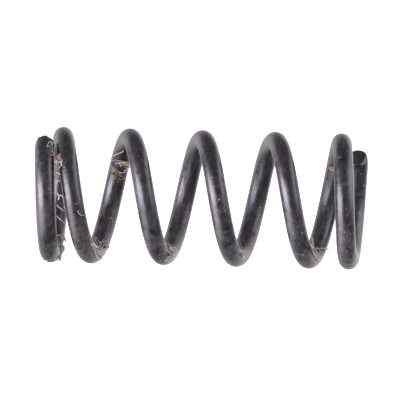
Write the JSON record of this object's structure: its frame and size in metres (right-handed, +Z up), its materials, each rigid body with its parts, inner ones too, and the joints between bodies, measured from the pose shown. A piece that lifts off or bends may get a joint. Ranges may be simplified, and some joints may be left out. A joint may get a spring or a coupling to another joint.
{
  "type": "compression spring",
  "caption": "Small helical compression spring of round blackened steel wire, right-hand wound, with closed ends that are not ground.",
  "frame": {"origin": "middle of the spring's box, on the plane that it lies on", "axes": "+X along the coil's axis towards the right end, +Y away from the front side, +Z up"},
  "size_m": [0.0118, 0.0048, 0.0049],
  "materials": {
    "wire": "satin"
  },
  "bodies": {
    "left_end": {"left_end_arc_1": "wire", "left_end_arc_2": "wire", "left_end_arc_3": "wire", "left_end_arc_4": "wire", "left_end_arc_5": "wire", "left_end_arc_6": "wire", "left_end_arc_7": "wire", "left_end_arc_8": "wire", "left_end_arc_9": "wire"},
    "coil_01": {"coil_01": "wire"},
    "coil_02": {"coil_02": "wire"},
    "coil_03": {"coil_03": "wire"},
    "coil_04": {"coil_04": "wire"},
    "coil_05": {"coil_05": "wire"},
    "coil_06": {"coil_06": "wire"},
    "coil_07": {"coil_07": "wire"},
    "coil_08": {"coil_08": "wire"},
    "coil_09": {"coil_09": "wire"},
    "coil_10": {"coil_10": "wire"},
    "coil_11": {"coil_11": "wire"},
    "coil_12": {"coil_12": "wire"},
    "coil_13": {"coil_13": "wire"},
    "coil_14": {"coil_14": "wire"},
    "coil_15": {"coil_15": "wire"},
    "coil_16": {"coil_16": "wire"},
    "coil_17": {"coil_17": "wire"},
    "coil_18": {"coil_18": "wire"},
    "coil_19": {"coil_19": "wire"},
    "coil_20": {"coil_20": "wire"},
    "coil_21": {"coil_21": "wire"},
    "coil_22": {"coil_22": "wire"},
    "coil_23": {"coil_23": "wire"},
    "coil_24": {"coil_24": "wire"},
    "coil_25": {"coil_25": "wire"},
    "coil_26": {"coil_26": "wire"},
    "coil_27": {"coil_27": "wire"},
    "coil_28": {"coil_28": "wire"},
    "coil_29": {"coil_29": "wire"},
    "right_end": {"right_end_arc_1": "wire", "right_end_arc_2": "wire", "right_end_arc_3": "wire", "right_end_arc_4": "wire", "right_end_arc_5": "wire", "right_end_arc_6": "wire", "right_end_arc_7": "wire", "right_end_arc_8": "wire"}
  },
  "joints": [
    {"name": "compression", "type": "slide", "parent": "left_end", "child": "right_end", "axis": [-1, 0, 0], "range_m": [0, 0.0053], "stiffness_N_per_m": 8760},
    {"name": "coil_01_slide", "type": "slide", "parent": "left_end", "child": "coil_01", "axis": [-1, 0, 0], "range_m": [0, 0.00018285]},
    {"name": "coil_02_slide", "type": "slide", "parent": "coil_01", "child": "coil_02", "axis": [-1, 0, 0], "range_m": [0, 0.00018285]},
    {"name": "coil_03_slide", "type": "slide", "parent": "coil_02", "child": "coil_03", "axis": [-1, 0, 0], "range_m": [0, 0.00018285]},
    {"name": "coil_04_slide", "type": "slide", "parent": "coil_03", "child": "coil_04", "axis": [-1, 0, 0], "range_m": [0, 0.00018285]},
    {"name": "coil_05_slide", "type": "slide", "parent": "coil_04", "child": "coil_05", "axis": [-1, 0, 0], "range_m": [0, 0.00018285]},
    {"name": "coil_06_slide", "type": "slide", "parent": "coil_05", "child": "coil_06", "axis": [-1, 0, 0], "range_m": [0, 0.00018285]},
    {"name": "coil_07_slide", "type": "slide", "parent": "coil_06", "child": "coil_07", "axis": [-1, 0, 0], "range_m": [0, 0.00018285]},
    {"name": "coil_08_slide", "type": "slide", "parent": "coil_07", "child": "coil_08", "axis": [-1, 0, 0], "range_m": [0, 0.00018285]},
    {"name": "coil_09_slide", "type": "slide", "parent": "coil_08", "child": "coil_09", "axis": [-1, 0, 0], "range_m": [0, 0.00018285]},
    {"name": "coil_10_slide", "type": "slide", "parent": "coil_09", "child": "coil_10", "axis": [-1, 0, 0], "range_m": [0, 0.00018285]},
    {"name": "coil_11_slide", "type": "slide", "parent": "coil_10", "child": "coil_11", "axis": [-1, 0, 0], "range_m": [0, 0.00018285]},
    {"name": "coil_12_slide", "type": "slide", "parent": "coil_11", "child": "coil_12", "axis": [-1, 0, 0], "range_m": [0, 0.00018285]},
    {"name": "coil_13_slide", "type": "slide", "parent": "coil_12", "child": "coil_13", "axis": [-1, 0, 0], "range_m": [0, 0.00018285]},
    {"name": "coil_14_slide", "type": "slide", "parent": "coil_13", "child": "coil_14", "axis": [-1, 0, 0], "range_m": [0, 0.00018285]},
    {"name": "coil_15_slide", "type": "slide", "parent": "coil_14", "child": "coil_15", "axis": [-1, 0, 0], "range_m": [0, 0.00018285]},
    {"name": "coil_16_slide", "type": "slide", "parent": "coil_15", "child": "coil_16", "axis": [-1, 0, 0], "range_m": [0, 0.00018285]},
    {"name": "coil_17_slide", "type": "slide", "parent": "coil_16", "child": "coil_17", "axis": [-1, 0, 0], "range_m": [0, 0.00018285]},
    {"name": "coil_18_slide", "type": "slide", "parent": "coil_17", "child": "coil_18", "axis": [-1, 0, 0], "range_m": [0, 0.00018285]},
    {"name": "coil_19_slide", "type": "slide", "parent": "coil_18", "child": "coil_19", "axis": [-1, 0, 0], "range_m": [0, 0.00018285]},
    {"name": "coil_20_slide", "type": "slide", "parent": "coil_19", "child": "coil_20", "axis": [-1, 0, 0], "range_m": [0, 0.00018285]},
    {"name": "coil_21_slide", "type": "slide", "parent": "coil_20", "child": "coil_21", "axis": [-1, 0, 0], "range_m": [0, 0.00018285]},
    {"name": "coil_22_slide", "type": "slide", "parent": "coil_21", "child": "coil_22", "axis": [-1, 0, 0], "range_m": [0, 0.00018285]},
    {"name": "coil_23_slide", "type": "slide", "parent": "coil_22", "child": "coil_23", "axis": [-1, 0, 0], "range_m": [0, 0.00018285]},
    {"name": "coil_24_slide", "type": "slide", "parent": "coil_23", "child": "coil_24", "axis": [-1, 0, 0], "range_m": [0, 0.00018285]},
    {"name": "coil_25_slide", "type": "slide", "parent": "coil_24", "child": "coil_25", "axis": [-1, 0, 0], "range_m": [0, 0.00018285]},
    {"name": "coil_26_slide", "type": "slide", "parent": "coil_25", "child": "coil_26", "axis": [-1, 0, 0], "range_m": [0, 0.00018285]},
    {"name": "coil_27_slide", "type": "slide", "parent": "coil_26", "child": "coil_27", "axis": [-1, 0, 0], "range_m": [0, 0.00018285]},
    {"name": "coil_28_slide", "type": "slide", "parent": "coil_27", "child": "coil_28", "axis": [-1, 0, 0], "range_m": [0, 0.00018285]},
    {"name": "coil_29_slide", "type": "slide", "parent": "coil_28", "child": "coil_29", "axis": [-1, 0, 0], "range_m": [0, 0.00018285]}
  ],
  "couplings": [
    {"joint": "coil_01_slide", "follows": "compression", "ratio": 0.034483},
    {"joint": "coil_02_slide", "follows": "compression", "ratio": 0.034483},
    {"joint": "coil_03_slide", "follows": "compression", "ratio": 0.034483},
    {"joint": "coil_04_slide", "follows": "compression", "ratio": 0.034483},
    {"joint": "coil_05_slide", "follows": "compression", "ratio": 0.034483},
    {"joint": "coil_06_slide", "follows": "compression", "ratio": 0.034483},
    {"joint": "coil_07_slide", "follows": "compression", "ratio": 0.034483},
    {"joint": "coil_08_slide", "follows": "compression", "ratio": 0.034483},
    {"joint": "coil_09_slide", "follows": "compression", "ratio": 0.034483},
    {"joint": "coil_10_slide", "follows": "compression", "ratio": 0.034483},
    {"joint": "coil_11_slide", "follows": "compression", "ratio": 0.034483},
    {"joint": "coil_12_slide", "follows": "compression", "ratio": 0.034483},
    {"joint": "coil_13_slide", "follows": "compression", "ratio": 0.034483},
    {"joint": "coil_14_slide", "follows": "compression", "ratio": 0.034483},
    {"joint": "coil_15_slide", "follows": "compression", "ratio": 0.034483},
    {"joint": "coil_16_slide", "follows": "compression", "ratio": 0.034483},
    {"joint": "coil_17_slide", "follows": "compression", "ratio": 0.034483},
    {"joint": "coil_18_slide", "follows": "compression", "ratio": 0.034483},
    {"joint": "coil_19_slide", "follows": "compression", "ratio": 0.034483},
    {"joint": "coil_20_slide", "follows": "compression", "ratio": 0.034483},
    {"joint": "coil_21_slide", "follows": "compression", "ratio": 0.034483},
    {"joint": "coil_22_slide", "follows": "compression", "ratio": 0.034483},
    {"joint": "coil_23_slide", "follows": "compression", "ratio": 0.034483},
    {"joint": "coil_24_slide", "follows": "compression", "ratio": 0.034483},
    {"joint": "coil_25_slide", "follows": "compression", "ratio": 0.034483},
    {"joint": "coil_26_slide", "follows": "compression", "ratio": 0.034483},
    {"joint": "coil_27_slide", "follows": "compression", "ratio": 0.034483},
    {"joint": "coil_28_slide", "follows": "compression", "ratio": 0.034483},
    {"joint": "coil_29_slide", "follows": "compression", "ratio": 0.034483}
  ]
}
